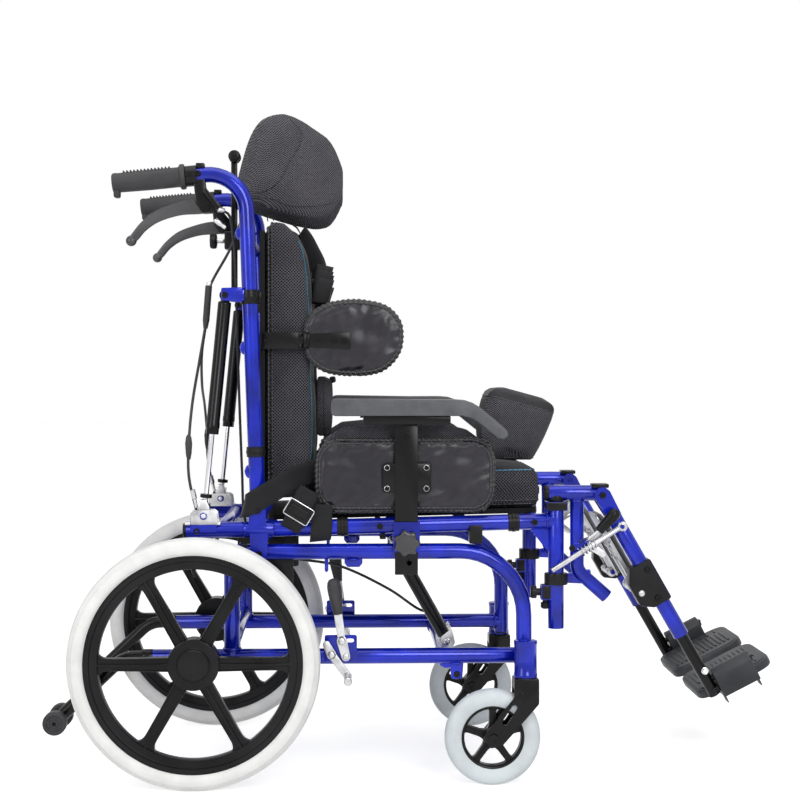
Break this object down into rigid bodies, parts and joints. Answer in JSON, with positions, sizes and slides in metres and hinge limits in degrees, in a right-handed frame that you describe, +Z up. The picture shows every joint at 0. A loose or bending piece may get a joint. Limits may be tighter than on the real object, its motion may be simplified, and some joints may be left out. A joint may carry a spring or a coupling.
{
  "type": "pediatric reclining wheelchair",
  "caption": "Child-size wheelchair with a tilting seat, reclining back, head pad, side pads, pommel, elevating leg supports, anti-tippers and push handles.",
  "frame": {"origin": "on the floor, under the middle of the whole chair", "axes": "+X forward the way the sitter faces, +Y to the sitter's left, +Z up"},
  "size_m": [1.1852, 0.544, 1.093],
  "materials": {
    "blue_paint": "gloss",
    "white_tyre": "matte",
    "black_plastic": "satin",
    "black_rubber": "matte",
    "black_metal": "satin",
    "black_board": "matte",
    "black_fabric": "matte",
    "black_vinyl": "satin",
    "grey_plastic": "matte",
    "brushed_steel": "satin",
    "chrome": "polished"
  },
  "bodies": {
    "base": {"base_frame": "blue_paint"},
    "seat": {"seat_frame": "blue_paint", "seat_board": "black_board", "seat_cushion": "black_fabric", "pommel": "black_fabric", "tilt_cable": "black_rubber"},
    "back": {"back_frame": "blue_paint", "back_board": "black_board", "back_cushion": "black_fabric", "push_grip_left": "black_rubber", "push_grip_right": "black_rubber", "recline_cable": "black_rubber"},
    "tilt_cylinders": {"tilt_cylinders": "black_metal"},
    "tilt_rods": {"tilt_rods": "chrome"},
    "headrest_stem": {"headrest_stem": "black_metal"},
    "headrest_pad": {"headrest_pad": "black_fabric"},
    "rear_wheel_left": {"rear_wheel_left": "black_plastic", "rear_tyre_left": "white_tyre"},
    "caster_fork_left": {"caster_fork_left": "black_metal"},
    "caster_wheel_left": {"caster_wheel_left": "black_plastic"},
    "anti_tipper_left": {"anti_tipper_left": "black_metal"},
    "anti_tip_wheels_left": {"anti_tip_wheels_left": "black_rubber"},
    "brake_lever_left": {"brake_lever_left": "brushed_steel"},
    "brake_shoe_left": {"brake_shoe_left": "brushed_steel"},
    "release_lever_left": {"release_lever_left": "black_plastic"},
    "lateral_pad_left": {"lateral_pad_left": "black_fabric"},
    "recline_cylinder_left": {"recline_cylinder_left": "black_metal"},
    "recline_rod_left": {"recline_rod_left": "chrome"},
    "arm_left": {"arm_post_left": "black_metal", "armrest_left": "black_vinyl", "hip_pad_left": "black_fabric"},
    "arm_knob_left": {"arm_knob_left": "black_plastic"},
    "leg_hanger_left": {"leg_hanger_left": "blue_paint"},
    "leg_tube_left": {"leg_tube_left": "blue_paint"},
    "elevation_rod_left": {"elevation_rod_left": "chrome"},
    "calf_pad_left": {"calf_pad_left": "black_fabric"},
    "foot_tube_left": {"foot_tube_left": "black_metal"},
    "footplate_left": {"footplate_left": "grey_plastic"},
    "rear_wheel_right": {"rear_wheel_right": "black_plastic", "rear_tyre_right": "white_tyre"},
    "caster_fork_right": {"caster_fork_right": "black_metal"},
    "caster_wheel_right": {"caster_wheel_right": "black_plastic"},
    "anti_tipper_right": {"anti_tipper_right": "black_metal"},
    "anti_tip_wheels_right": {"anti_tip_wheels_right": "black_rubber"},
    "brake_lever_right": {"brake_lever_right": "brushed_steel"},
    "brake_shoe_right": {"brake_shoe_right": "brushed_steel"},
    "release_lever_right": {"release_lever_right": "black_plastic"},
    "lateral_pad_right": {"lateral_pad_right": "black_fabric"},
    "recline_cylinder_right": {"recline_cylinder_right": "black_metal"},
    "recline_rod_right": {"recline_rod_right": "chrome"},
    "arm_right": {"arm_post_right": "black_metal", "armrest_right": "black_vinyl", "hip_pad_right": "black_fabric"},
    "arm_knob_right": {"arm_knob_right": "black_plastic"},
    "leg_hanger_right": {"leg_hanger_right": "blue_paint"},
    "leg_tube_right": {"leg_tube_right": "blue_paint"},
    "elevation_rod_right": {"elevation_rod_right": "chrome"},
    "calf_pad_right": {"calf_pad_right": "black_fabric"},
    "foot_tube_right": {"foot_tube_right": "black_metal"},
    "footplate_right": {"footplate_right": "grey_plastic"}
  },
  "joints": [
    {"name": "seat_tilt", "type": "hinge", "parent": "base", "child": "seat", "pos_m": [-0.2496, 0, 0.369], "axis": [0, -1, 0], "range_deg": [0, 25], "deforming": ["tilt_cable"]},
    {"name": "back_recline", "type": "hinge", "parent": "seat", "child": "back", "pos_m": [-0.2519, 0, 0.4384], "axis": [0, -1, 0], "range_deg": [0, 60], "deforming": ["recline_cable"]},
    {"name": "tilt_cylinders_swing", "type": "hinge", "parent": "base", "child": "tilt_cylinders", "pos_m": [0.0594, -0.07, 0.2119], "axis": [0, -1, 0], "range_deg": [-3.07, 0.5]},
    {"name": "tilt_rods_slide", "type": "slide", "parent": "tilt_cylinders", "child": "tilt_rods", "axis": [-0.4893, 0, 0.8721], "range_m": [0, 0.0897]},
    {"name": "headrest_rise", "type": "slide", "parent": "back", "child": "headrest_stem", "axis": [0, 0, 1], "range_m": [0, 0.08]},
    {"name": "headrest_tilt", "type": "hinge", "parent": "headrest_stem", "child": "headrest_pad", "pos_m": [-0.3005, 0, 1.0316], "axis": [0, -1, 0], "range_deg": [-5, 20]},
    {"name": "rear_wheel_left_spin", "type": "hinge", "parent": "base", "child": "rear_wheel_left", "pos_m": [-0.3505, 0.25, 0.2], "axis": [0, 1, 0], "continuous": true},
    {"name": "caster_left_swivel", "type": "hinge", "parent": "base", "child": "caster_fork_left", "pos_m": [0.1775, 0.227, 0.2], "axis": [0, 0, 1], "continuous": true},
    {"name": "caster_wheel_left_spin", "type": "hinge", "parent": "caster_fork_left", "child": "caster_wheel_left", "pos_m": [0.1243, 0.227, 0.077], "axis": [0, 1, 0], "continuous": true},
    {"name": "anti_tipper_left_turn", "type": "hinge", "parent": "base", "child": "anti_tipper_left", "pos_m": [-0.4255, 0.192, 0.2015], "axis": [-1, 0, 0], "range_deg": [0, 180]},
    {"name": "anti_tip_wheels_left_spin", "type": "hinge", "parent": "anti_tipper_left", "child": "anti_tip_wheels_left", "pos_m": [-0.5728, 0.192, 0.1029], "axis": [0, 1, 0], "continuous": true},
    {"name": "brake_lever_left_swing", "type": "hinge", "parent": "base", "child": "brake_lever_left", "pos_m": [-0.1167, 0.21, 0.2295], "axis": [0, 1, 0], "range_deg": [0, 54]},
    {"name": "brake_shoe_left_swing", "type": "hinge", "parent": "base", "child": "brake_shoe_left", "pos_m": [-0.1335, 0.21, 0.207], "axis": [0, 1, 0], "range_deg": [0, 54]},
    {"name": "release_lever_left_squeeze", "type": "hinge", "parent": "back", "child": "release_lever_left", "pos_m": [-0.3325, 0.192, 0.924], "axis": [0, 1, 0], "range_deg": [0, 12], "stiffness_Nm_per_rad": 0.9, "springref_deg": -8.59},
    {"name": "lateral_pad_left_swing", "type": "hinge", "parent": "back", "child": "lateral_pad_left", "pos_m": [-0.176, 0.169, 0.711], "axis": [0, 0, 1], "range_deg": [0, 90]},
    {"name": "recline_cylinder_left_swing", "type": "hinge", "parent": "back", "child": "recline_cylinder_left", "pos_m": [-0.3038, 0.192, 0.7842], "axis": [0, -1, 0], "range_deg": [0, 6.37]},
    {"name": "recline_rod_left_slide", "type": "slide", "parent": "recline_cylinder_left", "child": "recline_rod_left", "axis": [-0.0972, 0, -0.9953], "range_m": [-0.0818, 0]},
    {"name": "arm_left_rise", "type": "slide", "parent": "seat", "child": "arm_left", "axis": [0, 0, 1], "range_m": [0, 0.06]},
    {"name": "arm_knob_left_turn", "type": "hinge", "parent": "seat", "child": "arm_knob_left", "pos_m": [-0.013, 0.22, 0.387], "axis": [0, 1, 0], "range_deg": [0, 180]},
    {"name": "leg_hanger_left_swing", "type": "hinge", "parent": "seat", "child": "leg_hanger_left", "pos_m": [0.2308, 0.192, 0.4], "axis": [0, 0, 1], "range_deg": [0, 90]},
    {"name": "leg_left_raise", "type": "hinge", "parent": "leg_hanger_left", "child": "leg_tube_left", "pos_m": [0.3042, 0.192, 0.4621], "axis": [0, -1, 0], "range_deg": [0, 60]},
    {"name": "elevation_rod_left_swing", "type": "hinge", "parent": "leg_tube_left", "child": "elevation_rod_left", "pos_m": [0.3346, 0.21, 0.4119], "axis": [0, -1, 0], "range_deg": [-47, 0.5]},
    {"name": "calf_pad_left_tilt", "type": "hinge", "parent": "leg_tube_left", "child": "calf_pad_left", "pos_m": [0.367, 0.102, 0.3038], "axis": [0, -1, 0], "range_deg": [-20, 20]},
    {"name": "foot_tube_left_extend", "type": "slide", "parent": "leg_tube_left", "child": "foot_tube_left", "axis": [0.497, 0, -0.8678], "range_m": [0, 0.08]},
    {"name": "footplate_left_flip", "type": "hinge", "parent": "foot_tube_left", "child": "footplate_left", "pos_m": [0.47814, 0.192, 0.15838], "axis": [-0.891, 0, -0.454], "range_deg": [0, 90]},
    {"name": "rear_wheel_right_spin", "type": "hinge", "parent": "base", "child": "rear_wheel_right", "pos_m": [-0.3505, -0.25, 0.2], "axis": [0, 1, 0], "continuous": true},
    {"name": "caster_right_swivel", "type": "hinge", "parent": "base", "child": "caster_fork_right", "pos_m": [0.1775, -0.227, 0.2], "axis": [0, 0, 1], "continuous": true},
    {"name": "caster_wheel_right_spin", "type": "hinge", "parent": "caster_fork_right", "child": "caster_wheel_right", "pos_m": [0.1243, -0.227, 0.077], "axis": [0, 1, 0], "continuous": true},
    {"name": "anti_tipper_right_turn", "type": "hinge", "parent": "base", "child": "anti_tipper_right", "pos_m": [-0.4255, -0.192, 0.2015], "axis": [1, 0, 0], "range_deg": [0, 180]},
    {"name": "anti_tip_wheels_right_spin", "type": "hinge", "parent": "anti_tipper_right", "child": "anti_tip_wheels_right", "pos_m": [-0.5728, -0.192, 0.1029], "axis": [0, 1, 0], "continuous": true},
    {"name": "brake_lever_right_swing", "type": "hinge", "parent": "base", "child": "brake_lever_right", "pos_m": [-0.1167, -0.21, 0.2295], "axis": [0, 1, 0], "range_deg": [0, 54]},
    {"name": "brake_shoe_right_swing", "type": "hinge", "parent": "base", "child": "brake_shoe_right", "pos_m": [-0.1335, -0.21, 0.207], "axis": [0, 1, 0], "range_deg": [0, 54]},
    {"name": "release_lever_right_squeeze", "type": "hinge", "parent": "back", "child": "release_lever_right", "pos_m": [-0.3325, -0.192, 0.924], "axis": [0, 1, 0], "range_deg": [0, 12], "stiffness_Nm_per_rad": 0.9, "springref_deg": -8.59},
    {"name": "lateral_pad_right_swing", "type": "hinge", "parent": "back", "child": "lateral_pad_right", "pos_m": [-0.176, -0.169, 0.711], "axis": [0, 0, -1], "range_deg": [0, 90]},
    {"name": "recline_cylinder_right_swing", "type": "hinge", "parent": "back", "child": "recline_cylinder_right", "pos_m": [-0.3038, -0.192, 0.7842], "axis": [0, -1, 0], "range_deg": [0, 6.37]},
    {"name": "recline_rod_right_slide", "type": "slide", "parent": "recline_cylinder_right", "child": "recline_rod_right", "axis": [-0.0972, 0, -0.9953], "range_m": [-0.0818, 0]},
    {"name": "arm_right_rise", "type": "slide", "parent": "seat", "child": "arm_right", "axis": [0, 0, 1], "range_m": [0, 0.06]},
    {"name": "arm_knob_right_turn", "type": "hinge", "parent": "seat", "child": "arm_knob_right", "pos_m": [-0.013, -0.22, 0.387], "axis": [0, 1, 0], "range_deg": [0, 180]},
    {"name": "leg_hanger_right_swing", "type": "hinge", "parent": "seat", "child": "leg_hanger_right", "pos_m": [0.2308, -0.192, 0.4], "axis": [0, 0, -1], "range_deg": [0, 90]},
    {"name": "leg_right_raise", "type": "hinge", "parent": "leg_hanger_right", "child": "leg_tube_right", "pos_m": [0.3042, -0.192, 0.4621], "axis": [0, -1, 0], "range_deg": [0, 60]},
    {"name": "elevation_rod_right_swing", "type": "hinge", "parent": "leg_tube_right", "child": "elevation_rod_right", "pos_m": [0.3346, -0.21, 0.4119], "axis": [0, -1, 0], "range_deg": [-47, 0.5]},
    {"name": "calf_pad_right_tilt", "type": "hinge", "parent": "leg_tube_right", "child": "calf_pad_right", "pos_m": [0.367, -0.102, 0.3038], "axis": [0, -1, 0], "range_deg": [-20, 20]},
    {"name": "foot_tube_right_extend", "type": "slide", "parent": "leg_tube_right", "child": "foot_tube_right", "axis": [0.497, 0, -0.8678], "range_m": [0, 0.08]},
    {"name": "footplate_right_flip", "type": "hinge", "parent": "foot_tube_right", "child": "footplate_right", "pos_m": [0.47814, -0.192, 0.15838], "axis": [0.891, 0, 0.454], "range_deg": [0, 90]}
  ],
  "couplings": [
    {"joint": "tilt_cylinders_swing", "follows": "seat_tilt", "ratio": -0.10297},
    {"joint": "tilt_rods_slide", "follows": "seat_tilt", "m_per_rad": 0.20334},
    {"joint": "brake_shoe_left_swing", "follows": "brake_lever_left_swing", "ratio": 1},
    {"joint": "recline_cylinder_left_swing", "follows": "back_recline", "ratio": 0.09776},
    {"joint": "recline_rod_left_slide", "follows": "back_recline", "m_per_rad": -0.07715},
    {"joint": "elevation_rod_left_swing", "follows": "leg_left_raise", "ratio": -0.77},
    {"joint": "brake_shoe_right_swing", "follows": "brake_lever_right_swing", "ratio": 1},
    {"joint": "recline_cylinder_right_swing", "follows": "back_recline", "ratio": 0.09776},
    {"joint": "recline_rod_right_slide", "follows": "back_recline", "m_per_rad": -0.07715},
    {"joint": "elevation_rod_right_swing", "follows": "leg_right_raise", "ratio": -0.77}
  ]
}
